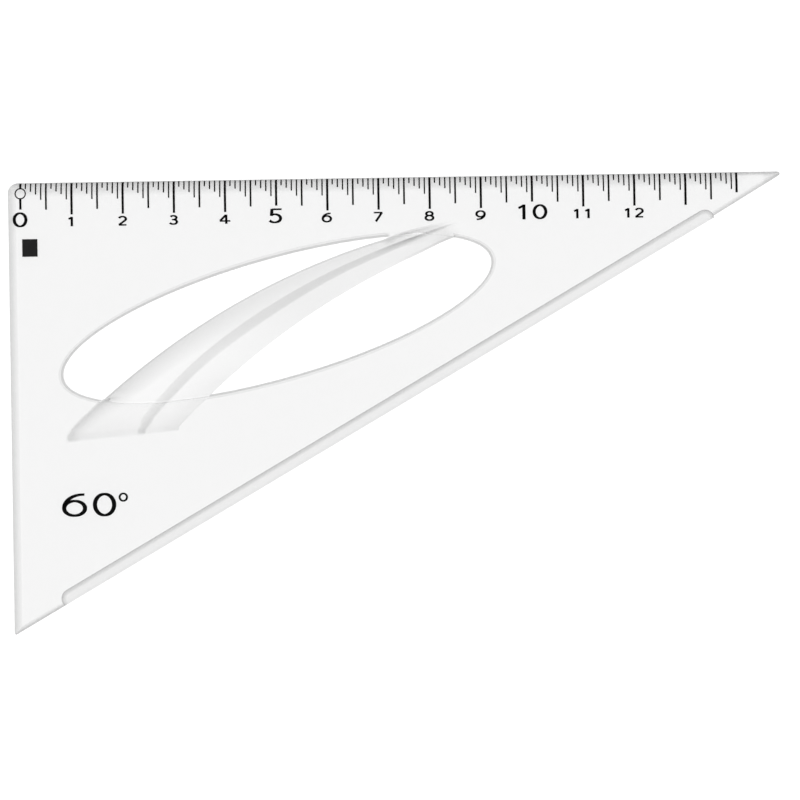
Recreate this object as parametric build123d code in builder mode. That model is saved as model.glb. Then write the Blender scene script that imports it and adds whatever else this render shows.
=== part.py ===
from build123d import *
import os
from math import cos, pi, radians, sin, tan

# A 30-60-90 drafting triangle in clear moulded plastic, lying on its back with the ruled
# leg away from the reader. The frame's origin is the middle of the outline, on the table:
# X runs along the ruled leg, Y points towards it and Z is up.

# Sizes of the plate, in millimetres and degrees. Legs run to the sharp corners.
long_leg = 153.3
tip_angle = 30.0
plate_thickness = 2.2
square_corner_radius = 2.0
tip_corner_radius = 0.45
heel_corner_radius = 0.35
# Between the ledge and the tip the hypotenuse stands in by a step, and by more at the tip,
# so that the nose is slim and ends this much short of the sharp corner.
nose_step = 0.33
nose_cut = 1.2

# The three edges are rounded off towards the top: how far in, and how far down.
ruled_round_width = 2.7
ruled_round_drop = 1.1
short_round_width = 1.6
short_round_drop = 0.7
slope_round_width = 0.9
slope_round_drop = 0.7
# Past the scale the ruled edge's rounding shrinks to this slim one, over this length.
slim_round_width = 1.0
slim_round_drop = 0.8
round_runout_length = 2.0
round_past_scale = 0.3

# The window is as long, wide and far from the two legs as these shares of the long leg. Its
# rim is rounded off in flats, each ending where the round has turned by one of these angles.
window_length_share = 0.5663
window_width_share = 0.1515
window_from_short_leg_share = 0.3412
window_from_ruled_leg_share = 0.1777
window_tilt = 15.0
window_rim_radius = 0.9
window_rim_turns = (0, 30, 60, 90)

# The step along the hypotenuse, which keeps a pen's ink off the paper.
ledge_width = 2.5
ledge_depth = 1.2
ledge_from_heel = 11.4
ledge_from_tip = 17.5
ledge_corner_radius = 1.9
ledge_root_radius = 0.9

# The grip, an arch over the window. Heights are above the plate, drops are below the crest
# in the middle of the arch, and the skin is its thickness there.
grip_rise = 8.6
grip_end_height = 0.3
grip_skin = 3.2
grip_step_height = 1.5
grip_shoulder_drop = 2.0
grip_skirt_drop = 0.8

# Print: a film of ink on the top, and the scale's pitch, marks and places.
ink_thickness = 0.03
centimetre = 10.0
marks_per_centimetre = 10
scale_from_short_leg = 2.47
scale_from_tip = 10.5
mark_edge_gap = 0.1
mark_slope_gap = 2.25
centimetre_mark_length = 6.3
fifth_mark_length = 5.2
half_mark_length = 5.3
short_mark_lengths = (1.2, 1.75, 2.3, 3.35)
centimetre_mark_width = 0.45
half_mark_width = 0.36
short_mark_width = 0.27
fifth_marks = 5
zero_ring_radius = 1.12
zero_ring_line = 0.25
zero_ring_from_edge = 2.1
square_mark_width = 3.0
square_mark_height = 3.45
square_mark_from_short_leg = 2.7
square_mark_from_ruled_leg = 11.0

# How far every cutting shape runs past the face that it cuts.
cut_overrun = 2.0

# Shares of the window's half axes, along and across it: the grip's upper and lower edges
# in plan, each an arc through a start at the big foot, a middle and an end at the small foot.
upper_edge_shares = ((-1.062, -0.944), (-0.13, 0.449), (0.866, 0.749))
lower_edge_shares = ((-0.56, -1.304), (0.127, -0.128), (0.866, 0.471))
# Shares of the grip's width, from its upper edge, at which the round shoulder, the flat
# crest and the step end, for each section from the big foot to the small one.
shoulder_shares = (0.10, 0.20, 0.32, 0.36, 0.33, 0.28, 0.05)
crest_shares = (0.60, 0.51, 0.45, 0.415, 0.375, 0.31, 0.07)
step_shares = (0.70, 0.64, 0.61, 0.60, 0.555, 0.51, 0.20)

# Values that follow from the sizes.
heel_angle = 90 - tip_angle
short_leg = long_leg * tan(radians(tip_angle))
slope_length = long_leg / cos(radians(tip_angle))
slope_along = Vector(-cos(radians(tip_angle)), -sin(radians(tip_angle)))
slope_out = Vector(-slope_along.Y, slope_along.X)
nose_side = slope_along * ledge_from_tip - slope_out * nose_step + Vector(nose_cut, 0)
nose_angle = nose_side.get_angle(Vector(-1, 0))
nose_length = long_leg - nose_cut
overall_length = nose_length - tip_corner_radius * (1 / tan(radians(nose_angle / 2)) - 1)
overall_width = short_leg - heel_corner_radius * (1 / tan(radians(heel_angle / 2)) - 1)
left_x = -overall_length / 2
ruled_y = overall_width / 2
square_corner = Vector(left_x, ruled_y)
tip_corner = Vector(left_x + long_leg, ruled_y)
heel_corner = Vector(left_x, ruled_y - short_leg)
nose_corner = Vector(left_x + nose_length, ruled_y)
nose_root = nose_corner + nose_side
ledge_start = tip_corner + slope_along * ledge_from_tip

window_length = window_length_share * long_leg
window_width = window_width_share * long_leg
window_center = Vector(
    left_x + window_from_short_leg_share * long_leg,
    ruled_y - window_from_ruled_leg_share * long_leg,
)
window_axis = Vector(cos(radians(window_tilt)), sin(radians(window_tilt)))
window_plane = Plane(origin=window_center, x_dir=window_axis, z_dir=(0, 0, 1))

zero_x = left_x + scale_from_short_leg
millimetre = centimetre / marks_per_centimetre
centimetre_count = int((long_leg - scale_from_short_leg - scale_from_tip) // centimetre)
scale_length = centimetre_count * centimetre
round_end = scale_from_short_leg + scale_length + round_past_scale
ring_center = (zero_x, ruled_y - zero_ring_from_edge)


def edge_plane(start, end, distance):
    """Plane square to the straight edge from start to end, x pointing out of the plate and y up."""
    along = (end - start).normalized()
    return Plane(origin=start + along * distance, x_dir=(-along.Y, along.X, 0), z_dir=along)


def rounding(plane, width, drop):
    """Section of what a rounded edge takes away: above an arc that leaves the top face smoothly."""
    top = plate_thickness
    with BuildSketch(plane) as section:
        with BuildLine():
            arc = TangentArc((-width, top), (0, top - drop), tangent=(1, 0))
            Polyline(
                arc @ 1,
                (cut_overrun, top - drop),
                (cut_overrun, top + cut_overrun),
                (-width, top + cut_overrun),
                arc @ 0,
            )
        make_face()
    return section.sketch


def rim_section(turn):
    """Outline of the window at the height where its rounded rim has turned by an angle."""
    out = window_rim_radius * (1 - cos(radians(turn)))
    height = plate_thickness - window_rim_radius * (1 - sin(radians(turn)))
    with BuildSketch(window_plane.offset(height)) as section:
        Ellipse(window_length / 2 + out, window_width / 2 + out)
    return section.sketch


def grip_edge(shares):
    """Arc in plan through three points given as shares of the window's half axes."""
    points = [
        window_plane.from_local_coords((along * window_length / 2, across * window_width / 2, 0))
        for along, across in shares
    ]
    with BuildLine() as edge:
        ThreePointArc(*points)
    return edge.line


def station_plane(share):
    """Upright plane across the grip at a share of its length, and the grip's width there."""
    start = upper_edge @ share + Vector(0, 0, plate_thickness)
    across = lower_edge @ share + Vector(0, 0, plate_thickness) - start
    plane = Plane(origin=start, x_dir=across, z_dir=across.cross(Vector(0, 0, 1)))
    return plane, across.length


def crest_height(share):
    """Height of the crest above the plate: half a sine wave that starts from the end height."""
    return grip_end_height + grip_rise * sin(pi * share)


def station_drop(drop, height):
    """A drop where the grip is this high: all of it at full height, fading out with the height."""
    return drop * 2 * height / (height + grip_end_height + grip_rise)


def grip_section(share, shoulder_share, crest_share, step_share):
    """Closed outline across the grip: round shoulder, flat crest, step and falling skirt."""
    plane, width = station_plane(share)
    crest = crest_height(share)
    step_foot = crest - station_drop(grip_step_height, crest)
    with BuildSketch(plane) as section:
        with BuildLine():
            shoulder = TangentArc(
                (shoulder_share * width, crest),
                (0, crest - station_drop(grip_shoulder_drop, crest)),
                tangent=(-1, 0),
            )
            Polyline(
                shoulder @ 0,
                (crest_share * width, crest),
                (step_share * width, step_foot),
                (width, step_foot - station_drop(grip_skirt_drop, step_foot)),
                (width, 0),
                (0, 0),
                shoulder @ 1,
            )
        make_face()
    return section.sketch


def finger_section(share):
    """Outline across the space below the grip's skin, wider than the grip on both sides."""
    plane, width = station_plane(share)
    ceiling = crest_height(share) - grip_skin
    floor = -grip_skin - cut_overrun
    with BuildSketch(plane) as section:
        with BuildLine():
            Polyline(
                (-cut_overrun, floor),
                (width + cut_overrun, floor),
                (width + cut_overrun, ceiling),
                (-cut_overrun, ceiling),
                close=True,
            )
        make_face()
    return section.sketch


def mark_room(distance):
    """Longest mark that fits between the ruled edge and the hypotenuse at a place on the scale."""
    to_tip = long_leg - scale_from_short_leg - distance
    return to_tip * tan(radians(tip_angle)) - mark_slope_gap


def print_marks(places, width):
    """Outlines of scale marks, in plan: each place is a distance along the scale and a length."""
    with BuildSketch() as marks:
        for distance, length in places:
            reach = min(length, mark_room(distance)) - mark_edge_gap
            with Locations((zero_x + distance, ruled_y - mark_edge_gap - reach / 2)):
                Rectangle(width, reach)
    return marks.sketch


upper_edge = grip_edge(upper_edge_shares)
lower_edge = grip_edge(lower_edge_shares)
last_station = len(crest_shares) - 1
station_shares = [number / last_station for number in range(len(crest_shares))]

# Space above the ledge: a long notch along the hypotenuse with round corners and a round root.
with BuildPart() as ledge_space:
    ledge_plane = Plane(
        origin=tip_corner + Vector(0, 0, plate_thickness - ledge_depth),
        x_dir=slope_along,
        z_dir=(0, 0, 1),
    )
    with BuildSketch(ledge_plane) as ledge_outline:
        with BuildLine():
            Polyline(
                (ledge_from_tip, cut_overrun),
                (ledge_from_tip, -ledge_width),
                (slope_length - ledge_from_heel, -ledge_width),
                (slope_length - ledge_from_heel, cut_overrun),
                close=True,
            )
        make_face()
        fillet(ledge_outline.vertices().group_by(Axis.Y)[0], ledge_corner_radius)
    extrude(amount=ledge_depth + cut_overrun)
    root_edges = ledge_space.edges().group_by(Axis.Z)[0].sort_by(Axis(tip_corner, slope_out))[:-1]
    fillet(root_edges, ledge_root_radius)

# What the window's rounded rim takes away. Where the grip stands, the rim stays square.
with BuildPart() as rim_space:
    loft([rim_section(turn) for turn in window_rim_turns], ruled=True)
    with BuildSketch():
        with BuildLine():
            add(upper_edge)
            add(lower_edge)
            Line(upper_edge @ 0, lower_edge @ 0)
            Line(upper_edge @ 1, lower_edge @ 1)
        make_face()
    extrude(amount=plate_thickness + cut_overrun, mode=Mode.SUBTRACT)

# The plate, with its three rounded edges, window and ledge.
with BuildPart() as triangle_plate:
    with BuildSketch() as outline:
        with BuildLine():
            Polyline(square_corner, nose_corner, nose_root, ledge_start, heel_corner, close=True)
        make_face()
        fillet(outline.vertices().sort_by(Axis.X)[-1], tip_corner_radius)
        fillet(outline.vertices().sort_by(Axis.Y)[0], heel_corner_radius)
        fillet(outline.vertices().sort_by_distance(square_corner)[0], square_corner_radius)
    extrude(amount=plate_thickness)

    with BuildSketch(window_plane):
        Ellipse(window_length / 2, window_width / 2)
    extrude(amount=plate_thickness, mode=Mode.SUBTRACT)
    add(rim_space.part, mode=Mode.SUBTRACT)

    ruled_start = edge_plane(square_corner, tip_corner, -cut_overrun)
    extrude(
        rounding(ruled_start, ruled_round_width, ruled_round_drop),
        amount=cut_overrun + round_end,
        mode=Mode.SUBTRACT,
    )
    runout_start = edge_plane(square_corner, tip_corner, round_end)
    runout_end = edge_plane(square_corner, tip_corner, round_end + round_runout_length)
    loft(
        [
            rounding(runout_start, ruled_round_width, ruled_round_drop),
            rounding(runout_end, slim_round_width, slim_round_drop),
        ],
        ruled=True,
        mode=Mode.SUBTRACT,
    )
    extrude(
        rounding(runout_end, slim_round_width, slim_round_drop),
        amount=long_leg + cut_overrun - round_end - round_runout_length,
        mode=Mode.SUBTRACT,
    )
    short_start = edge_plane(heel_corner, square_corner, -cut_overrun)
    extrude(
        rounding(short_start, short_round_width, short_round_drop),
        amount=short_leg + 2 * cut_overrun,
        mode=Mode.SUBTRACT,
    )
    slope_start = edge_plane(tip_corner, heel_corner, ledge_from_tip)
    extrude(
        rounding(slope_start, slope_round_width, slope_round_drop),
        amount=slope_length - ledge_from_tip + cut_overrun,
        mode=Mode.SUBTRACT,
    )
    nose_start = edge_plane(nose_corner, nose_root, -cut_overrun)
    extrude(
        rounding(nose_start, slope_round_width, slope_round_drop),
        amount=nose_side.length + 2 * cut_overrun,
        mode=Mode.SUBTRACT,
    )
    add(ledge_space.part, mode=Mode.SUBTRACT)

# Space for the fingers: inside the window only, up to the underside of the grip's skin.
with BuildPart() as finger_space:
    loft([finger_section(share) for share in station_shares])
    with BuildSketch(window_plane):
        Ellipse(window_length / 2, window_width / 2)
    extrude(amount=plate_thickness + grip_end_height + grip_rise, mode=Mode.INTERSECT)

# The grip, a stepped arch whose two feet stand flat on the plate.
with BuildPart() as grip:
    section_shares = zip(station_shares, shoulder_shares, crest_shares, step_shares)
    loft([grip_section(*shares) for shares in section_shares])
    add(finger_space.part, mode=Mode.SUBTRACT)

# A blanket of ink that follows the top face and the ruled edge's rounding; marks are cut from it.
with BuildPart() as ink_blanket:
    with BuildSketch(edge_plane(square_corner, tip_corner, 0)):
        top = plate_thickness
        with BuildLine():
            under = TangentArc(
                (-ruled_round_width, top), (0, top - ruled_round_drop), tangent=(1, 0)
            )
            over = TangentArc(
                (-ruled_round_width, top + ink_thickness),
                (0, top - ruled_round_drop + ink_thickness),
                tangent=(1, 0),
            )
            Line(under @ 1, over @ 1)
            Polyline(
                over @ 0,
                (-centimetre_mark_length, top + ink_thickness),
                (-centimetre_mark_length, top),
                under @ 0,
            )
        make_face()
    extrude(amount=round_end)

with BuildPart() as centimetre_ticks:
    centimetre_places = [
        (number * centimetre, centimetre_mark_length if number % fifth_marks else fifth_mark_length)
        for number in range(centimetre_count + 1)
    ]
    with BuildSketch() as centimetre_plan:
        add(print_marks(centimetre_places, centimetre_mark_width))
        with Locations(ring_center):
            Circle(zero_ring_radius, mode=Mode.SUBTRACT)
    extrude(amount=plate_thickness + cut_overrun)
    add(ink_blanket.part, mode=Mode.INTERSECT)

with BuildPart() as half_centimetre_ticks:
    half_places = [
        ((number + 1 / 2) * centimetre, half_mark_length) for number in range(centimetre_count)
    ]
    add(print_marks(half_places, half_mark_width))
    extrude(amount=plate_thickness + cut_overrun)
    add(ink_blanket.part, mode=Mode.INTERSECT)

with BuildPart() as millimetre_ticks:
    half_marks = marks_per_centimetre // 2
    short_places = [
        (number * millimetre, short_mark_lengths[number % half_marks - 1])
        for number in range(centimetre_count * marks_per_centimetre)
        if number % half_marks
    ]
    add(print_marks(short_places, short_mark_width))
    extrude(amount=plate_thickness + cut_overrun)
    add(ink_blanket.part, mode=Mode.INTERSECT)

with BuildPart() as zero_ring:
    with BuildSketch():
        with Locations(ring_center):
            Circle(zero_ring_radius)
            Circle(zero_ring_radius - zero_ring_line, mode=Mode.SUBTRACT)
    extrude(amount=plate_thickness + cut_overrun)
    add(ink_blanket.part, mode=Mode.INTERSECT)

with BuildPart() as corner_square:
    square_x = left_x + square_mark_from_short_leg + square_mark_width / 2
    square_y = ruled_y - square_mark_from_ruled_leg - square_mark_height / 2
    with BuildSketch(Plane(origin=(square_x, square_y, plate_thickness))):
        Rectangle(square_mark_width, square_mark_height)
    extrude(amount=ink_thickness)

os.makedirs("parts", exist_ok=True)
triangle_plate.part.label = "triangle_plate"
export_step(triangle_plate.part, "parts/triangle_plate.step")
grip.part.label = "grip"
export_step(grip.part, "parts/grip.step")
centimetre_ticks.part.label = "centimetre_ticks"
export_step(centimetre_ticks.part, "parts/centimetre_ticks.step")
half_centimetre_ticks.part.label = "half_centimetre_ticks"
export_step(half_centimetre_ticks.part, "parts/half_centimetre_ticks.step")
millimetre_ticks.part.label = "millimetre_ticks"
export_step(millimetre_ticks.part, "parts/millimetre_ticks.step")
zero_ring.part.label = "zero_ring"
export_step(zero_ring.part, "parts/zero_ring.step")
corner_square.part.label = "corner_square"
export_step(corner_square.part, "parts/corner_square.step")
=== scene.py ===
from math import cos, pi, radians, sin
from types import SimpleNamespace

import bpy
import numpy as np
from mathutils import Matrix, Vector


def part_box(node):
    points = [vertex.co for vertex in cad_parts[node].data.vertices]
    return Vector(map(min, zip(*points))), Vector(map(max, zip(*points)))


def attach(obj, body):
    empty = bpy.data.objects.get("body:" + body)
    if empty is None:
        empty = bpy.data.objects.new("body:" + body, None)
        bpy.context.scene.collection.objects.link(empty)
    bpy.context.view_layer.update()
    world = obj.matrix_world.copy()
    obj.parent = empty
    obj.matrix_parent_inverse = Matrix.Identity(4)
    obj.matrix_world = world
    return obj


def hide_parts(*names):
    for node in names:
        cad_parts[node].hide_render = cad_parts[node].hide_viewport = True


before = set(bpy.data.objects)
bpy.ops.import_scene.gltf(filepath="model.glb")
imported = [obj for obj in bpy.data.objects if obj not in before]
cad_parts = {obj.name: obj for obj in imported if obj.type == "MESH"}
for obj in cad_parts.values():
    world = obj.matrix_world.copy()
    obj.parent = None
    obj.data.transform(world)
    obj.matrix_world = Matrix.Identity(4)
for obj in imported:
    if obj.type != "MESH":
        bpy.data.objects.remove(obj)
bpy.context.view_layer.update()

# The plate: one flat injection moulding in clear acrylic, polished by its mould. Its flats pass nearly
# all light, while its rounded edges and the ledge throw light aside; their grey is painted shade in the
# plate's colour, by slope and by place.
MM = 0.001
plate_low, plate_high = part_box("triangle_plate")
LEFT_X, RULED_Y = plate_low[0], plate_high[1]
LONG_LEG = 153.3 * MM
PLATE_TOP = 2.2 * MM
LEDGE_TOP = 1.0 * MM
LEDGE_WIDTH = 2.5 * MM
SLOPE_OUT = (0.5, -0.8660254, 0.0)
SLOPE_REACH = float(np.dot(SLOPE_OUT, (LEFT_X + LONG_LEG, RULED_Y, 0.0)))
STEP_LINE = SLOPE_REACH - LEDGE_WIDTH
SMALL_FOOT = (LEFT_X + 80.5 * MM, RULED_Y - 11.6 * MM, PLATE_TOP)
PLATE_IOR = 1.49
PLATE_PASSES = 0.98
MOST_MIRRORINGS = 2.5
# Tint of level faces, and painted shade and light: tints of steep faces, and of the places that look
# darker or lighter than their slope.
FLAT_TINT, STEEP_SHADE, UPRIGHT_GAIN = 0.845, 0.24, 2.6
LEDGE_SHADE, LEDGE_INSIDE, STEP_SHADOW, SLOPE_SHADE = 0.765, 0.6, 0.86, 0.78
RULED_BAND_SHADE, RULED_OUTSIDE_SHADE = 0.94, 0.72
NOSE_SLOPE_SHADE_KEPT, NOSE_GAIN = 0.17, 1.06
# Spans over which a shade comes or goes: of shares and slopes, of heights and of the distance to
# the small foot, then along x, along y and outward from the hypotenuse.
WHOLE = (0.0, 1.0)
DOWNWARD = (-0.1, 0.0)
UPRIGHT = (0.985, 1.0)
HAZE = (0.35, 0.75)
OFF_TABLE = (0.4 * LEDGE_TOP, 0.8 * LEDGE_TOP)
OFF_LEDGE = (LEDGE_TOP, 1.3 * LEDGE_TOP)
UNDER_TOP = (PLATE_TOP - 0.3 * MM, PLATE_TOP - 0.05 * MM)
FOOT_ROUND = (5.7 * MM, 6.5 * MM)
LEDGE_LOW_END = (LEFT_X + 8.5 * MM, LEFT_X + 9.5 * MM)
MARKS_END = (LEFT_X + 141.9 * MM, LEFT_X + 142.4 * MM)
NOSE_END = (LEFT_X + 147.4 * MM, LEFT_X + 148.2 * MM)
LEDGE_HIGH_END = (RULED_Y - 5.0 * MM, RULED_Y - 4.0 * MM)
RULED_BAND = (RULED_Y - 2.6 * MM, RULED_Y - 1.8 * MM)
OUTER_LINE = (RULED_Y - 0.95 * MM, RULED_Y - 0.35 * MM)
RULED_OUTSIDE = (RULED_Y - 0.8 * MM, RULED_Y)
STEP_START = (STEP_LINE - 0.3 * MM, STEP_LINE)
STEP_REACH = (STEP_LINE + 0.2 * MM, STEP_LINE + 1.4 * MM)
NOSE_SLOPE = (SLOPE_REACH - 1.5 * MM, SLOPE_REACH - 0.8 * MM)
LEDGE_OUTSIDE = (SLOPE_REACH - 0.75 * MM, SLOPE_REACH - 0.25 * MM)
SLOPE_OUTSIDE = (SLOPE_REACH - 0.6 * MM, SLOPE_REACH)


def feed(tree, made, inputs):
    """Give a node its inputs: another node's output is linked, and a plain value is set."""
    for name, value in inputs.items():
        if isinstance(value, bpy.types.NodeSocket):
            tree.links.new(value, made.inputs[name])
        else:
            made.inputs[name].default_value = value


def node(tree, kind, inputs=None, **settings):
    """Add a node to a tree, in the next place of eight columns, with its settings and its inputs."""
    row, column = divmod(len(tree.nodes), 8)
    made = tree.nodes.new(kind)
    made.location = (column * 200, -row * 300)
    for name, value in settings.items():
        setattr(made, name, value)
    feed(tree, made, inputs or {})
    return made


def fade(tree, source, span, first, last, smooth=True):
    """A value that goes from first to last as the source goes through a span, smoothly or straight."""
    start, end = span
    inputs = {"Value": source, "From Min": start, "From Max": end, "To Min": first, "To Max": last}
    course = "SMOOTHSTEP" if smooth else "LINEAR"
    return node(tree, "ShaderNodeMapRange", inputs, interpolation_type=course).outputs[0]


def times(tree, *factors):
    """The product of one or more values."""
    total = factors[0]
    for factor in factors[1:]:
        total = node(tree, "ShaderNodeMath", {0: total, 1: factor}, operation="MULTIPLY").outputs[0]
    return total


def mould_finish_group():
    """Finish from the mould and from use: a rubbed haze as roughness, broad flow waves as height."""
    group = bpy.data.node_groups.new("mould_finish", "ShaderNodeTree")
    for name, value in (("Smoothest", 0.01), ("Roughest", 0.06)):
        socket = group.interface.new_socket(name, in_out="INPUT", socket_type="NodeSocketFloat")
        socket.default_value = value
    for name in ("Roughness", "Height"):
        group.interface.new_socket(name, in_out="OUTPUT", socket_type="NodeSocketFloat")
    given = node(group, "NodeGroupInput").outputs
    coords = node(group, "ShaderNodeTexCoord").outputs["Object"]
    haze = node(group, "ShaderNodeTexNoise", {"Vector": coords, "Scale": 420.0, "Detail": 4.0})
    flow = node(group, "ShaderNodeTexNoise", {"Vector": coords, "Scale": 60.0, "Detail": 1.0})
    smoothest, roughest = given["Smoothest"], given["Roughest"]
    rough = fade(group, haze.outputs["Fac"], HAZE, smoothest, roughest, smooth=False)
    node(group, "NodeGroupOutput", {"Roughness": rough, "Height": flow.outputs["Fac"]})
    return group


mould_finish = mould_finish_group()


def lamp_rays(tree, path):
    """One on light's way from a lamp or from the table, and zero on the way of a look."""
    rays = {0: path.outputs["Is Shadow Ray"], 1: path.outputs["Is Diffuse Ray"]}
    return node(tree, "ShaderNodeMath", rays, operation="MAXIMUM").outputs[0]


def clear_plastic(name, ior, passed):
    """Clear plastic: it refracts what the eye sees through it, and lets lamp light straight through.

    Each surface lets a share of that light pass. Light that was mirrored often inside the plastic
    goes straight on too. Returns the material, its tree and its shader, whose colour is left to the
    piece.
    """
    material = bpy.data.materials.new(name)
    material.use_nodes = True
    tree = material.node_tree
    tree.nodes.clear()
    finish = node(tree, "ShaderNodeGroup", node_tree=mould_finish).outputs
    waves = {"Height": finish["Height"], "Strength": 0.02, "Distance": 0.02 * MM}
    plastic = node(tree, "ShaderNodeBsdfPrincipled", {
        "Roughness": finish["Roughness"],
        "Normal": node(tree, "ShaderNodeBump", waves).outputs["Normal"],
        "Transmission Weight": 1.0,
        "IOR": ior,
    })
    clear = node(tree, "ShaderNodeBsdfTransparent", {"Color": (passed, passed, passed, 1.0)})
    path = node(tree, "ShaderNodeLightPath")
    mirrorings = {0: path.outputs["Glossy Depth"], 1: MOST_MIRRORINGS}
    caught = node(tree, "ShaderNodeMath", mirrorings, operation="GREATER_THAN").outputs[0]
    either = {0: lamp_rays(tree, path), 1: caught}
    straight = node(tree, "ShaderNodeMath", either, operation="MAXIMUM").outputs[0]
    ways = {"Fac": straight, 1: plastic.outputs[0], 2: clear.outputs[0]}
    mix = node(tree, "ShaderNodeMixShader", ways)
    node(tree, "ShaderNodeOutputMaterial", {"Surface": mix.outputs[0]})
    return material, tree, plastic


def dress(node_name, material):
    """Put a material on a node of the frame."""
    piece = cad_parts[node_name]
    piece.data.materials.clear()
    piece.data.materials.append(material)


def plate_shade(tree):
    """The plate's tint at each point, with painted shade: a tint by slope, times shades that hang on the
    place.
    """
    coords = node(tree, "ShaderNodeTexCoord").outputs
    place = node(tree, "ShaderNodeSeparateXYZ", {0: coords["Object"]}).outputs
    x, y, z = place["X"], place["Y"], place["Z"]
    slope = {0: coords["Object"], 1: SLOPE_OUT}
    outward = node(tree, "ShaderNodeVectorMath", slope, operation="DOT_PRODUCT").outputs["Value"]

    def shade(tint, *masks):
        """One where a mask is zero, and the tint where all masks are one."""
        return fade(tree, times(tree, *masks), WHOLE, 1.0, tint, smooth=False)

    # Past the last mark the ruled edge is hardly rounded: most of its painted slope shade is taken off,
    # and painted light makes it look clear inside its outer line.
    bare_edge = times(
        tree,
        fade(tree, x, MARKS_END, 0.0, 1.0),
        fade(tree, x, NOSE_END, 1.0, 0.0),
        fade(tree, y, OUTER_LINE, 1.0, 0.0),
        fade(tree, y, RULED_BAND, 0.0, 1.0),
        fade(tree, outward, NOSE_SLOPE, 1.0, 0.0),
    )
    # Below the grip's small foot the window's wall is one with the foot: its painted slope shade is left
    # off there, so it does not show.
    foot = {0: coords["Object"], 1: SMALL_FOOT}
    to_foot = node(tree, "ShaderNodeVectorMath", foot, operation="DISTANCE").outputs["Value"]
    off_foot = fade(tree, to_foot, FOOT_ROUND, 0.0, 1.0)
    # Painted shade by slope: level faces get one tint and steep ones a darker one, with the slope's sine
    # between. Faces that look down count as level.
    up = node(tree, "ShaderNodeSeparateXYZ", {0: coords["Normal"]}).outputs["Z"]
    less = {0: 1.0, 1: times(tree, up, up)}
    square = node(tree, "ShaderNodeMath", less, operation="SUBTRACT", use_clamp=True).outputs[0]
    sine = node(tree, "ShaderNodeMath", {0: square}, operation="SQRT").outputs[0]
    looks_up = fade(tree, up, DOWNWARD, 0.0, 1.0)
    steepness = times(tree, sine, looks_up, off_foot, shade(NOSE_SLOPE_SHADE_KEPT, bare_edge))
    tint = fade(tree, steepness, WHOLE, FLAT_TINT, STEEP_SHADE, smooth=False)
    # Upright walls are polished flat: they take back most of the painted slope shade and pass more light
    # than the rounded edges above them.
    upright = fade(tree, steepness, UPRIGHT, 1.0, UPRIGHT_GAIN)
    # Painted shade on the ledge along the hypotenuse: darker than the top, most of all along its
    # outside.
    off_table = fade(tree, z, OFF_TABLE, 0.0, 1.0)
    on_ledge = (
        fade(tree, outward, LEDGE_OUTSIDE, LEDGE_INSIDE, 1.0),
        fade(tree, z, OFF_LEDGE, 1.0, 0.0),
        off_table,
    )
    # Between the ledge's ends, the step down to it throws a soft shadow, painted on the ledge.
    by_step = (
        fade(tree, outward, STEP_START, 0.0, 1.0),
        fade(tree, outward, STEP_REACH, 1.0, 0.0),
        fade(tree, z, UNDER_TOP, 1.0, 0.0),
        fade(tree, x, LEDGE_LOW_END, 0.0, 1.0),
        fade(tree, y, LEDGE_HIGH_END, 1.0, 0.0),
        off_table,
    )
    # Past the ledge's ends the hypotenuse is a rounded edge, with painted shade darkest along its
    # outside.
    on_slope = (
        fade(tree, outward, SLOPE_OUTSIDE, 0.0, 1.0),
        fade(tree, z, OFF_LEDGE, 0.0, 1.0),
    )
    # Painted shade: the ruled edge darkens towards its outside.
    band = fade(tree, y, RULED_BAND, 1.0, RULED_BAND_SHADE)
    outside = fade(tree, y, RULED_OUTSIDE, 1.0, RULED_OUTSIDE_SHADE, smooth=False)
    return times(
        tree, tint, upright, band, outside, shade(LEDGE_SHADE, *on_ledge), shade(STEP_SHADOW, *by_step),
        shade(SLOPE_SHADE, *on_slope), shade(NOSE_GAIN, bare_edge),
    )


plate_plastic, tree, plastic = clear_plastic("clear_plate", PLATE_IOR, PLATE_PASSES)
feed(tree, plastic, {"Base Color": plate_shade(tree)})
dress("triangle_plate", plate_plastic)

# The grip: an arched bridge over the window, moulded in the same clear plastic. It has a round
# shoulder, a flat crest and a step down to a falling skirt, and its feet run out into the plate.
WINDOW_CENTRE = np.array((LEFT_X + 0.3412 * LONG_LEG, RULED_Y - 0.1777 * LONG_LEG))
WINDOW_HALF = np.array((0.5663, 0.1515)) * LONG_LEG / 2
WINDOW_TILT = radians(15.0)
# Both edges as three points of an arc, in shares of the window's half axes.
UPPER_EDGE = ((-1.062, -0.944), (-0.13, 0.449), (0.866, 0.749))
LOWER_EDGE = ((-0.56, -1.304), (0.127, -0.128), (0.866, 0.471))
# Where the shoulder, the crest and the step end across the grip, at even stations along it.
SHOULDER_SHARES = (0.10, 0.20, 0.32, 0.36, 0.33, 0.28, 0.05)
CREST_SHARES = (0.60, 0.51, 0.45, 0.415, 0.375, 0.31, 0.07)
STEP_SHARES = (0.70, 0.64, 0.61, 0.60, 0.555, 0.51, 0.20)
GRIP_ROWS, GRIP_COLUMNS = 300, 90
GRIP_END, GRIP_RISE, GRIP_SKIN = 0.3 * MM, 8.6 * MM, 3.2 * MM
SHOULDER_DROP, STEP_DROP, SKIRT_DROP = 2.0 * MM, 1.5 * MM, 0.8 * MM
STEP_SOFT = 0.12
UPPER_ROUND, LOWER_ROUND, MOST_ROUND = 0.30 * MM, 0.12 * MM, 0.8
FOOT_LIFT = 0.02 * MM
ROOT_WIDTH = 4.0 * MM
MIDDLE_WIDTH = 12.8 * MM
SHARP_ANGLE = radians(50)
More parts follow.
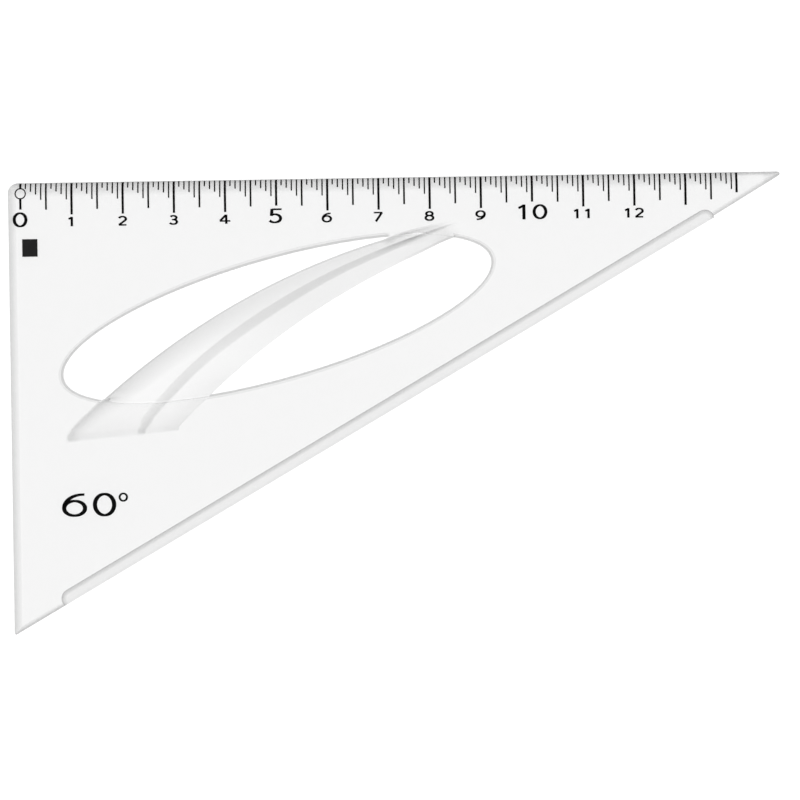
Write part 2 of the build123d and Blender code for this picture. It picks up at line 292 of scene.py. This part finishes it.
# How far the edges move out along the feet and in elsewhere, and the last rows past the feet.
BIG_FOOT_EDGE, SMALL_FOOT_EDGE, FOOT_FADE = 0.3 * MM, 0.65 * MM, 0.5 * MM
BIG_FOOT_OUT, SMALL_FOOT_OUT = 0.85 * MM, 0.55 * MM
BIG_FOOT_CLIMB, SMALL_FOOT_CLIMB = 1.2 * MM, 2.2 * MM
UPPER_IN, LOWER_IN = 0.25 * MM, 0.3 * MM
END_OUT_UPPER, END_OUT_LOWER, TIP_OUT = 1.3 * MM, 0.75 * MM, 1.2 * MM
END_DOWN, FOOT_DOWN = 0.98, 0.95
# Spans along the grip, in shares of its length. It runs past both feet by END_ROWS.
END_ROWS = 0.011
FIRST_ROW, LAST_ROW = -END_ROWS, 1 + END_ROWS
ROOT_STARTS = (FIRST_ROW, FIRST_ROW + 0.045)
UPPER_IN_STARTS, UPPER_IN_ENDS = (0.0, 0.25), (0.8, 0.4)
LOWER_IN_STARTS = (0.9, 0.96)
BIG_END_ROUND, SMALL_END_ROUND = (FIRST_ROW, FIRST_ROW + 0.02), (LAST_ROW, LAST_ROW - 0.06)
SKIRT_ENDS = (0.76, 0.96)
SKIRT_OUTSIDE, SKIRT_UPPER_HALF = (0.0, -1.5 * MM), (0.0, 0.5)


def window_point(shares):
    """Points in plan from shares of the window's half axes, along and across the tilted window."""
    turn = np.array(((cos(WINDOW_TILT), sin(WINDOW_TILT)), (-sin(WINDOW_TILT), cos(WINDOW_TILT))))
    return WINDOW_CENTRE + (np.asarray(shares) * WINDOW_HALF) @ turn


def window_depth(places):
    """How far places in plan lie inside the window's ellipse, to first order: negative outside it."""
    turn = np.array(((cos(WINDOW_TILT), -sin(WINDOW_TILT)), (sin(WINDOW_TILT), cos(WINDOW_TILT))))
    local = (places - WINDOW_CENTRE) @ turn
    level = 1 - ((local / WINDOW_HALF) ** 2).sum(axis=-1)
    return level / (2 * np.linalg.norm(local / WINDOW_HALF**2, axis=-1))


def plan_arc(three_shares, share):
    """Points on the circle through three points, at shares of the turn from the first to the last."""
    three = window_point(three_shares)
    squares = (three**2).sum(axis=1)
    middle = np.linalg.solve(2 * (three[1:] - three[0]), squares[1:] - squares[0])
    radius = np.linalg.norm(three[0] - middle)
    angles = np.unwrap(np.arctan2(*(three - middle).T[::-1]))
    angle = angles[0] + share * (angles[2] - angles[0])
    return middle + radius * np.stack((np.cos(angle), np.sin(angle)), axis=-1)


def along_grip(shares, share):
    """A smooth value along the grip: the curve of degree six through shares at even stations."""
    stations = np.linspace(0, 1, len(shares))
    return np.polynomial.Polynomial.fit(stations, shares, len(shares) - 1)(share)


def crowded(count):
    """Shares from 0 to 1 that crowd towards both ends: a half less half a cosine."""
    return 0.5 - 0.5 * np.cos(np.linspace(0, pi, count))


def limit(x):
    """The nearest value between 0 and 1."""
    return np.clip(x, 0, 1)


def ramp(x, span):
    """A straight ramp from 0 at the start of a span to 1 at its end, level elsewhere."""
    start, end = span
    return limit((x - start) / (end - start))


def ease(x):
    """A smooth step from 0 at x = 0 to 1 at x = 1: three squares less two cubes."""
    x = limit(x)
    return x**2 * (3 - 2 * x)


def between(first, last, share):
    """The value at a share of the way from first to last."""
    return first + (last - first) * share


def soft_ramp(x, soft):
    """A ramp from 0 at x = 0 to 1 at x = 1 whose two corners are rounded over a width of twice soft."""
    def area(v):
        v = np.clip(v, 0, None)
        return np.where(v < 1, v**2 / 2, v - 0.5)
    return (area(x + soft) - area(x - soft)) / (2 * soft)


def grip_plan(rows, columns):
    """The grip's points in plan: rows from the big foot to the small one, columns from edge to edge.

    A point lies between the upper and the lower arc. The upper edge moves out by a soft root along
    the feet and in inside the window, and the lower edge moves in near the small foot. Rows past the
    feet move out at right angles to the feet's end lines. With the places go the measures that the
    heights and the tones need, and the section's lines as shares of the width.
    """
    run = between(FIRST_ROW, LAST_ROW, crowded(rows))[:, None]
    share = limit(run)
    across = crowded(columns)[None, :]
    big_half = share < 0.5
    upper, lower = plan_arc(UPPER_EDGE, share), plan_arc(LOWER_EDGE, share)
    moulded = np.linalg.norm(lower - upper, axis=-1)
    side = (lower - upper) / moulded[..., None]

    foot_edge = np.where(big_half, BIG_FOOT_EDGE, SMALL_FOOT_EDGE)
    on_plate = ramp(window_depth(upper), (foot_edge, foot_edge - FOOT_FADE))
    root = np.where(big_half, BIG_FOOT_OUT, SMALL_FOOT_OUT) * ramp(run, ROOT_STARTS)
    inset = UPPER_IN * ramp(share, UPPER_IN_STARTS) * ramp(share, UPPER_IN_ENDS)
    out = between(-inset, root, on_plate)
    cut = LOWER_IN * ramp(share, LOWER_IN_STARTS)
    upper, lower = upper - side * out[..., None], lower - side * cut[..., None]
    width = moulded + out - cut
    places = between(upper, lower, across[..., None])

    past_big = ramp(run, (0, FIRST_ROW)) * between(END_OUT_UPPER, END_OUT_LOWER, across)
    past_small = ramp(run, (1, LAST_ROW)) * TIP_OUT
    for row, past, way in ((0, past_big, 1), (-1, past_small, -1)):
        line = (lower - upper)[row, 0] / width[row, 0]
        places = places + past[..., None] * way * np.array((line[1], -line[0]))

    shoulder, flat, foot = (
        (along_grip(shares, share) * moulded + out) / width
        for shares in (SHOULDER_SHARES, CREST_SHARES, STEP_SHARES)
    )
    return SimpleNamespace(
        places=places, run=run, share=share, across=across, width=width, big_half=big_half,
        on_plate=on_plate, inside=window_depth(places), upper_inside=window_depth(upper),
        from_upper=across * width, from_lower=(1 - across) * width,
        shoulder=shoulder, flat=flat, foot=foot, down_skirt=ramp(across, (foot, 1)),
    )


def grip_heights(plan):
    """Heights of the grip's top and of its underside above the plate.

    The crest's height is half a sine wave. From the upper edge, the top rises as a parabola, runs
    level, drops by a ramp and falls as a parabola. The underside is a skin's thickness below the
    crest inside the window, and flat on the plate elsewhere. The top meets the edges in quarter
    rounds, and comes down to the plate at the ends, along the feet and at the skirt's end.
    """
    full = GRIP_END + GRIP_RISE
    crest = GRIP_END + GRIP_RISE * np.sin(pi * plan.share)
    slim = np.minimum(1, plan.width / MIDDLE_WIDTH)

    def drop(most, height):
        return slim * most * 2 * height / (height + full)

    step = drop(STEP_DROP, crest)
    rise = limit(1 - plan.across / plan.shoulder) ** 2 * drop(SHOULDER_DROP, crest)
    fall = plan.down_skirt**2 * drop(SKIRT_DROP, crest - step)
    down_step = soft_ramp((plan.across - plan.flat) / (plan.foot - plan.flat), STEP_SOFT)
    top = crest - rise - step * down_step - fall
    gap = np.clip(crest - GRIP_SKIN - FOOT_LIFT, 0, None)
    under = FOOT_LIFT + gap * ease(plan.inside / ROOT_WIDTH)

    for edge, radius in ((plan.from_upper, UPPER_ROUND), (plan.from_lower, LOWER_ROUND)):
        short = np.clip(radius - edge, 0, radius)
        top = top - np.minimum(radius - np.sqrt(radius**2 - short**2), MOST_ROUND * (top - under))
    ends = np.minimum(ramp(plan.run, BIG_END_ROUND), ramp(plan.run, SMALL_END_ROUND))
    top = between(top, under, END_DOWN * (1 - ease(ends)))
    climb = plan.from_upper / np.where(plan.big_half, BIG_FOOT_CLIMB, SMALL_FOOT_CLIMB)
    top = between(top, under, FOOT_DOWN * plan.on_plate * (1 - ease(climb)))
    skirt_end = ramp(plan.share, SKIRT_ENDS) * ramp(plan.inside, SKIRT_OUTSIDE)
    top = between(top, under, FOOT_DOWN * skirt_end * ramp(plan.down_skirt, SKIRT_UPPER_HALF))
    return top, under


# How clear the grip's bands look, at stations along it, as painted shade in the colour: the shoulder,
# the step and the skirt's edge throw more light aside than the crest and are painted darker.
GRIP_IOR = 1.2
STATIONS = (0.0, 0.15, 0.3, 0.55, 0.8, 0.9, 1.0)
SHOULDER_SHADED = (0.84, 0.62, 0.66, 0.70, 0.71, 0.73, 0.84)
CREST_SHADED = (0.84, 0.84, 0.83, 0.77, 0.75, 0.75, 0.84)
STEP_TOP_SHADED = (0.77, 0.74, 0.68, 0.63, 0.58, 0.29, 0.56)
STEP_END_SHADED = (0.62, 0.64, 0.73, 0.63, 0.61, 0.67, 0.76)
SKIRT_TOP_SHADED = (0.86, 0.84, 0.83, 0.77, 0.78, 0.78, 0.79)
SKIRT_END_SHADED = (0.77, 0.77, 0.81, 0.77, 0.77, 0.75, 0.77)
# How the two lines of the step's painted shade bend near the big foot, in shares of the width.
BEND_AT = (0.0, 0.02, 0.045, 0.085, 0.15)
CREST_BEND = (0.034, 0.024, -0.010, -0.012, 0.0)
STEP_BEND = (0.005, -0.004, -0.024, -0.021, 0.0)
# Widths and strengths of the shades, and the spans along the grip over which they change.
SHOULDER_REACH, SHOULDER_WIDENS = (1.4, 1.8), (0.25, 0.13)
TONE_SOFT, CREST_BLUR, STEP_LEAD = 0.2, 0.3 * MM, 0.25 * MM
STEP_BLUR, STEP_BLURS = (0.5 * MM, 1.3 * MM), (0.86, 0.92)
SKIRT_SHADE, SKIRT_SHADE_DOWN, SKIRT_SHADE_ALONG = 0.08, (0.16, 0.56), (0.925, 0.965)
PLATE_BELOW, BIG_RIM_BAND, SMALL_RIM_BAND = 1.2, 0.6 * MM, 0.1 * MM
EDGE_LINE = 0.3 * MM
UPPER_LINE, UPPER_LINE_IN, UPPER_LINE_WIDE = 0.16, 0.7, 1.5
LOWER_LINE, LOWER_LINE_IN, LOWER_LINE_WIDE = 0.20, (1.2, 0.85), 1.0
LOWER_LINE_STARTS, LOWER_LINE_SHIFTS = (0.8, 0.94), (0.9, 0.95)
BIG_FOOT_SHADE, SMALL_FOOT_SHADE, FOOT_SHADE_REACH = 0.18, 0.30, (1.0 * MM, 0.55 * MM)
FOOT_SHADE_POWER, FOOT_SHADE_SLIMS, FOOT_SHADE_ENDS = (1.6, 3.0), (0.8, 0.88), (1.0, 0.89)
FOOT_SHADE_RIM = (0.9 * MM, 0.4 * MM)
BIG_END_SHADE, BIG_END_SHADED = 0.05, (0.07, 0.0)
FRINGE, FRINGE_SPAN = 0.03, (FIRST_ROW + 0.025, FIRST_ROW)
SOFT_EDGE = 0.8 * MM
BIG_END_FADE, SMALL_END_FADE = (FIRST_ROW, FIRST_ROW + 0.006), (LAST_ROW, LAST_ROW - 0.03)
RIM_FADE = (-0.3 * MM, 0.0)


def grip_clearness(plan):
    """The share of light that the grip's top lets through at each point, with painted shade in it.

    Each band of the section goes from one painted tone to another across it, and soft ramps join the
    bands. Thin painted shades along the edges and the feet multiply that, each a bump around its line.
    Towards the outline of the feet the tone goes to fully clear, so that they run out into the plate.
    """
    share, across = plan.share, plan.across

    def tone(tones):
        return np.interp(share, STATIONS, tones)

    shoulder_reach = between(*SHOULDER_REACH, ramp(share, SHOULDER_WIDENS)) * plan.shoulder
    up_shoulder = limit(1 - across / shoulder_reach)
    top = between(tone(CREST_SHADED), tone(SHOULDER_SHADED), up_shoulder)
    step = between(tone(STEP_TOP_SHADED), tone(STEP_END_SHADED), ramp(across, (plan.flat, plan.foot)))
    skirt = between(tone(SKIRT_TOP_SHADED), tone(SKIRT_END_SHADED), plan.down_skirt)
    to_crest = (across - plan.flat - np.interp(share, BEND_AT, CREST_BEND)) * plan.width
    to_step = (across - plan.foot - np.interp(share, BEND_AT, STEP_BEND)) * plan.width
    step_blur = between(*STEP_BLUR, ramp(share, STEP_BLURS))
    clear = between(top, step, soft_ramp(0.5 + to_crest / CREST_BLUR, TONE_SOFT))
    clear = between(clear, skirt, soft_ramp((to_step + STEP_LEAD) / step_blur, TONE_SOFT))
    skirt_shade = ramp(plan.down_skirt, SKIRT_SHADE_DOWN) * ramp(share, SKIRT_SHADE_ALONG)
    clear = clear * (1 - SKIRT_SHADE * skirt_shade)
    # Over the plate the painted tones are made lighter, since the plate below tints the light as well.
    rim_band = np.where(plan.big_half, BIG_RIM_BAND, SMALL_RIM_BAND)
    clear = limit(clear * between(PLATE_BELOW, 1, ramp(plan.inside, (-rim_band, 0))))

    # Painted shade: a thin dark line along the upper edge in the window, and a wide soft one along the
    # feet.
    line = limit(UPPER_LINE_WIDE - np.abs(plan.from_upper / EDGE_LINE - UPPER_LINE_IN))
    clear = clear * (1 - UPPER_LINE * (1 - plan.on_plate) * line)
    reach = plan.from_upper / between(*FOOT_SHADE_REACH, share)
    power = between(*FOOT_SHADE_POWER, ramp(share, FOOT_SHADE_SLIMS))
    foot_shade = np.where(plan.big_half, BIG_FOOT_SHADE, SMALL_FOOT_SHADE)
    foot_shade = foot_shade * ramp(share, FOOT_SHADE_ENDS) * ramp(plan.upper_inside, FOOT_SHADE_RIM)
    clear = clear * (1 - foot_shade * (reach * np.exp(1 - reach)) ** power)

    # Painted shade: the small foot's lower edge is a dark line too, and the big foot's end is a little
    # darker.
    line_in = between(*LOWER_LINE_IN, ramp(share, LOWER_LINE_SHIFTS))
    line = limit(LOWER_LINE_WIDE - np.abs(plan.from_lower / EDGE_LINE - line_in))
    clear = clear * (1 - LOWER_LINE * ramp(share, LOWER_LINE_STARTS) * line)
    fringe = FRINGE * (1 + (1 - across) ** 2) * ramp(plan.run, FRINGE_SPAN)
    clear = clear * (1 - BIG_END_SHADE * ramp(share, BIG_END_SHADED) - fringe)

    # The big foot's upper edge and both ends run out into the plate.
    edge_fade = np.maximum(ease(plan.from_upper / SOFT_EDGE), 1 - plan.on_plate * plan.big_half)
    clear = between(1, clear, edge_fade)
    end_fade = np.minimum(ramp(plan.run, BIG_END_FADE), ramp(plan.run, SMALL_END_FADE))
    return limit(between(1, clear, np.maximum(end_fade, ramp(plan.inside, RIM_FADE))))


def closed_grid(points, loop=False):
    """Faces of a row of rings as one closed shell: quads round the sides, and strips over both ends.

    A loop has no ends: its last ring joins its first.
    """
    rows, ring = points.shape[:2]
    index = np.arange(rows * ring).reshape(rows, ring)
    near, far = (index, np.roll(index, -1, axis=0)) if loop else (index[:-1], index[1:])
    sides = np.stack((near, np.roll(near, -1, axis=1), np.roll(far, -1, axis=1), far), axis=-1)
    sides = sides.reshape(-1, 4)
    if loop:
        return sides
    step = np.arange(ring // 2 - 1)
    strip = np.stack((step, ring - 1 - step, ring - 2 - step, step + 1), axis=-1)
    return np.concatenate((sides, index[0][strip], index[-1][strip[:, ::-1]]))


def mesh_piece(name, points, faces, material, smooth):
    """A piece from its points and its four-sided faces, shaded smooth or flat."""
    mesh = bpy.data.meshes.new(name)
    mesh.vertices.add(len(points))
    mesh.vertices.foreach_set("co", np.asarray(points, np.float32).ravel())
    mesh.loops.add(faces.size)
    mesh.loops.foreach_set("vertex_index", faces.astype(np.int32).ravel())
    mesh.polygons.add(len(faces))
    mesh.polygons.foreach_set("loop_start", np.arange(0, faces.size, 4, dtype=np.int32))
    mesh.polygons.foreach_set("use_smooth", np.full(len(faces), smooth))
    mesh.update(calc_edges=True)
    mesh.validate()
    mesh.materials.append(material)
    piece = bpy.data.objects.new(name, mesh)
    bpy.context.collection.objects.link(piece)
    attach(piece, "root")
    return piece


grip_plastic, tree, plastic = clear_plastic("clear_grip", GRIP_IOR, 1.0)
shaded_clearness = node(tree, "ShaderNodeAttribute", attribute_name="shaded_clearness").outputs["Fac"]
feed(tree, plastic, {"Base Color": shaded_clearness, "Coat Weight": 0.4, "Coat Roughness": 0.03})
# Rings run over the top from the upper edge to the lower one, and back along the underside.
plan = grip_plan(GRIP_ROWS, GRIP_COLUMNS)
over, below = (
    np.concatenate((plan.places, (PLATE_TOP + height)[..., None]), axis=-1)
    for height in grip_heights(plan)
)
rings = np.concatenate((over, below[:, ::-1]), axis=1)
grip = mesh_piece("clear_grip", rings.reshape(-1, 3), closed_grid(rings), grip_plastic, True)
# A surface tints light by the root of its colour, so the attribute holds the square.
clear = grip_clearness(plan)
clear = np.concatenate((clear**2, np.ones_like(clear)), axis=1)
attribute = grip.data.attributes.new("shaded_clearness", "FLOAT", "POINT")
attribute.data.foreach_set("value", clear.astype(np.float32).ravel())
grip.data.set_sharp_from_angle(angle=SHARP_ANGLE)
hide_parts("grip")

# The printed scale: a film of black ink that lies on the top and runs down the rounded edge.
# Screen print is a little thinner in places and dries to a dull finish. The film throws only a
# faint shadow through the clear plate.
PAST_INK = 0.92
INK_GRAIN, INK_DULLNESS = (0.3, 0.7), (0.45, 0.65)
BLACK, THIN_BLACK = (0.001, 0.003), (0.0105, 0.0165)


def ink_film(name, darkest, palest):
    """Dull ink whose black wanders between two levels, and most of its shadow let through."""
    film = bpy.data.materials.new(name)
    film.use_nodes = True
    tree = film.node_tree
    coords = node(tree, "ShaderNodeTexCoord").outputs["Object"]
    grains = {"Vector": coords, "Scale": 2500.0, "Detail": 3.0}
    grain = node(tree, "ShaderNodeTexNoise", grains).outputs["Fac"]
    black = node(tree, "ShaderNodeValToRGB", {"Fac": grain})
    for stop, level in zip(black.color_ramp.elements, (darkest, palest)):
        stop.color = (level, level, level, 1.0)
    shader = tree.nodes["Principled BSDF"]
    feed(tree, shader, {
        "Base Color": black.outputs["Color"],
        "Roughness": fade(tree, grain, INK_GRAIN, *INK_DULLNESS),
        "Specular IOR Level": 0.05,
    })
    through = node(tree, "ShaderNodeBsdfTransparent")
    rays = lamp_rays(tree, node(tree, "ShaderNodeLightPath"))
    passed = fade(tree, rays, WHOLE, 0.0, PAST_INK, smooth=False)
    ways = {"Fac": passed, 1: shader.outputs[0], 2: through.outputs[0]}
    mix = node(tree, "ShaderNodeMixShader", ways)
    feed(tree, tree.nodes["Material Output"], {"Surface": mix.outputs[0]})
    return film


ink = ink_film("black_ink", *BLACK)
for marks in ("centimetre_ticks", "half_centimetre_ticks", "millimetre_ticks", "zero_ring"):
    dress(marks, ink)
# The rectangle below the zero is printed a little thinner than the marks.
dress("corner_square", ink_film("thin_ink", *THIN_BLACK))

# The numbers of the scale, printed in the same ink below their marks. They are drawn as with a
# broad pen: thick where a stroke runs upright and thin where it runs level.
INK_TOP = 0.03 * MM
INK_SINK = 0.004 * MM
SAME_PLACE = 0.001 * MM
BOW_POINTS, BAR_POINTS = 49, 3
ZERO_X = LEFT_X + 2.37 * MM
CENTIMETRE = 10 * MM
LAST_NUMBER, LARGE_EVERY = 12, 5
BASELINE = RULED_Y - 8.65 * MM
SMALL_PEN = {"height": 1.93 * MM, "thick": 0.48 * MM, "thin": 0.30 * MM}
LARGE_PEN = {"height": 2.91 * MM, "thick": 0.63 * MM, "thin": 0.35 * MM}
# Shifts of single numbers along the scale, and gaps between two figures, in millimetres.
NUMBER_SHIFTS = {1: -0.17, 4: -0.06, 5: -0.11, 6: -0.05, 10: 0.16, 11: -0.27}
NUMBER_GAPS = {10: 1.37, 11: 1.17, 12: 0.96}


def bow(middle, half, start, end):
    """Stroke along an ellipse, from one angle to another in degrees."""
    angle = np.radians(np.linspace(start, end, BOW_POINTS))[:, None]
    return np.array(middle) + np.array(half) * np.concatenate((np.cos(angle), np.sin(angle)), axis=1)


def bar(start, end):
    """Straight stroke."""
    return np.linspace(start, end, BAR_POINTS)


# Each figure's width as a share of its height, and its strokes: x from -1 to 1, y from 0 to 1.
# A nine is a six turned by half a turn.
SIX = [bow((0, 0.345), (1, 0.345), 0, 360), bow((0.78, 0.36), (1.78, 0.63), 84, 180)]
FIGURES = {
    "0": (1.00, [bow((0, 0.5), (1, 0.5), 0, 360)]),
    "1": (0.53, [bar((1, -0.07), (1, 1.07)), bar((-1.3, 0.80), (1, 0.99))]),
    "2": (0.95, [
        bow((0, 0.71), (1, 0.29), 160, -28),
        bar((0.90, 0.59), (-1.02, 0.0)),
        bar((-1.1, 0.0), (1.15, 0.0)),
    ]),
    "3": (0.93, [
        bow((-0.09, 0.77), (0.92, 0.23), 152, -88),
        bar((-0.5, 0.54), (0.1, 0.54)),
        bow((-0.11, 0.27), (1.09, 0.27), 88, -157),
    ]),
    "4": (1.10, [
        bar((0.42, -0.07), (0.42, 1.05)),
        bar((-1.12, 0.28), (1.40, 0.28)),
        bar((0.36, 1.0), (-1.05, 0.30)),
    ]),
    "5": (0.93, [
        bar((-0.62, 1.0), (1.20, 1.0)),
        bar((-0.60, 1.04), (-0.74, 0.50)),
        bow((-0.12, 0.31), (1.1, 0.31), 124, -150),
    ]),
    "6": (1.07, SIX),
    "7": (1.00, [bar((-1.18, 1.0), (1.14, 1.0)), bar((1.02, 1.02), (-0.66, -0.07))]),
    "8": (1.01, [bow((0, 0.772), (0.84, 0.228), 0, 360), bow((0, 0.275), (1, 0.275), 0, 360)]),
    "9": (1.07, [np.array((0, 1)) - stroke for stroke in SIX]),
}


def ink_stroke(path, thick, thin):
    """Ribbon along a path in plan, as rings of four points: over its top from left to right, then below.

    Its width goes from thin where the path runs level to thick where it runs upright. With the rings
    goes whether the path closes on itself.
    """
    loop = bool(np.linalg.norm(path[0] - path[-1]) < SAME_PLACE)
    if loop:
        path = path[:-1]
        run = np.roll(path, -1, axis=0) - np.roll(path, 1, axis=0)
    else:
        run = np.gradient(path, axis=0)
    run = run / np.linalg.norm(run, axis=1, keepdims=True)
    half = between(thin, thick, np.abs(run[:, 1:])) / 2
    side = np.stack((-run[:, 1], run[:, 0]), axis=1) * half
    ring = np.stack((path + side, path - side, path - side, path + side), axis=1)
    heights = PLATE_TOP + np.array((INK_TOP, INK_TOP, -INK_SINK, -INK_SINK))
    heights = np.broadcast_to(heights[None, :, None], ring.shape[:2] + (1,))
    return np.concatenate((ring, heights), axis=2), loop


def printed(text, middle, baseline, gap, height, thick, thin):
    """Strokes of a number, its figures side by side with gaps between, centred on a place."""
    widths = [FIGURES[figure][0] * height for figure in text]
    left = middle - (sum(widths) + gap * (len(text) - 1)) / 2
    strokes = []
    for figure, width in zip(text, widths):
        size = np.array(((width - thick) / 2, height - thin))
        place = np.array((left + width / 2, baseline + thin / 2))
        strokes += [ink_stroke(place + path * size, thick, thin) for path in FIGURES[figure][1]]
        left += width + gap
    return strokes


def ink_piece(name, strokes):
    """One piece from many strokes, each a closed shell of its own."""
    counts = np.cumsum([0] + [rings.shape[0] * rings.shape[1] for rings, loop in strokes])
    points = np.concatenate([rings.reshape(-1, 3) for rings, loop in strokes])
    faces = [closed_grid(rings, loop) + count for (rings, loop), count in zip(strokes, counts)]
    piece = mesh_piece(name, points, np.concatenate(faces), ink, False)


number_strokes = []
for number in range(LAST_NUMBER + 1):
    middle = ZERO_X + CENTIMETRE * number + NUMBER_SHIFTS.get(number, 0.0) * MM
    gap = NUMBER_GAPS.get(number, 0.0) * MM
    pen = SMALL_PEN if number % LARGE_EVERY else LARGE_PEN
    number_strokes += printed(str(number), middle, BASELINE, gap, **pen)
ink_piece("scale_numbers", number_strokes)

# The angle of the near corner, printed large on the bare part of the plate: a plain 60 with the
# small ring of a degree sign.
ANGLE_PLACE = (LEFT_X + 15.0 * MM, RULED_Y - 65.4 * MM)
ANGLE_GAP = 1.1 * MM
ANGLE_PEN = {"height": 4.6 * MM, "thick": 0.85 * MM, "thin": 0.48 * MM}
DEGREE_PLACE = (LEFT_X + 21.7 * MM, RULED_Y - 61.7 * MM)
DEGREE_HALF = (0.72 * MM, 0.72 * MM)
DEGREE_PEN = {"thick": 0.42 * MM, "thin": 0.34 * MM}
angle_strokes = printed("60", *ANGLE_PLACE, ANGLE_GAP, **ANGLE_PEN)
angle_strokes.append(ink_stroke(bow(DEGREE_PLACE, DEGREE_HALF, 0, 360), **DEGREE_PEN))
ink_piece("angle_figure", angle_strokes)

# The floor is a plain white table, a little below the plate. The light is a soft white studio dome
# that is brightest overhead, with one large lamp that the plastic does not mirror.
FLOOR_GAP = 0.15 * MM
FLOOR_REACH = 4.0
TABLE_WHITE, TABLE_ROUGHNESS = 0.95, 0.9
DOME_LOW, DOME_HIGH = 0.55, 0.75
LAMP_SIZE, LAMP_POWER, LAMP_HEIGHT = 0.8, 34.0, 2.5
floor_mesh = bpy.data.meshes.new("floor")
corners = np.array([(-1, -1), (1, -1), (1, 1), (-1, 1)]) * FLOOR_REACH
floor_mesh.from_pydata([(x, y, -FLOOR_GAP) for x, y in corners], [], [(0, 1, 2, 3)])
floor = bpy.data.objects.new("floor", floor_mesh)
bpy.context.collection.objects.link(floor)
table = bpy.data.materials.new("white_table")
table.use_nodes = True
feed(table.node_tree, table.node_tree.nodes["Principled BSDF"], {
    "Base Color": (TABLE_WHITE, TABLE_WHITE, TABLE_WHITE, 1.0),
    "Roughness": TABLE_ROUGHNESS,
    "Specular IOR Level": 0.0,
})
floor_mesh.materials.append(table)

scene = bpy.context.scene
scene.view_settings.view_transform = "Standard"
world = bpy.data.worlds.new("studio")
world.use_nodes = True
scene.world = world
dome = world.node_tree
upward = node(dome, "ShaderNodeTexCoord").outputs["Generated"]
height = node(dome, "ShaderNodeSeparateXYZ", {0: upward}).outputs["Z"]
feed(dome, dome.nodes["Background"], {
    "Color": (1.0, 1.0, 1.0, 1.0),
    "Strength": fade(dome, height, WHOLE, DOME_LOW, DOME_HIGH, smooth=False),
})
lamp_data = bpy.data.lights.new("soft_lamp", "AREA")
lamp_data.size = LAMP_SIZE
lamp_data.energy = LAMP_POWER
lamp = bpy.data.objects.new("soft_lamp", lamp_data)
lamp.location = (0.0, 0.0, LAMP_HEIGHT)
lamp.visible_glossy = False
lamp.visible_transmission = False
bpy.context.collection.objects.link(lamp)

# The camera looks straight down through a long lens, turned by a little. The picture's width is
# measured at the plate's top.
PICTURE_WIDTH = 156.34 * MM
PICTURE_CENTRE = (LEFT_X + 76.06 * MM, RULED_Y - 43.56 * MM)
PICTURE_TURN = radians(0.894)
camera_data = bpy.data.cameras.new("camera")
camera_data.lens = 200.0
camera_data.sensor_width = 36.0
camera = bpy.data.objects.new("camera", camera_data)
reach = PICTURE_WIDTH * camera_data.lens / camera_data.sensor_width
camera.location = (*PICTURE_CENTRE, PLATE_TOP + reach)
camera.rotation_euler = (0.0, 0.0, -PICTURE_TURN)
bpy.context.collection.objects.link(camera)
scene.camera = camera
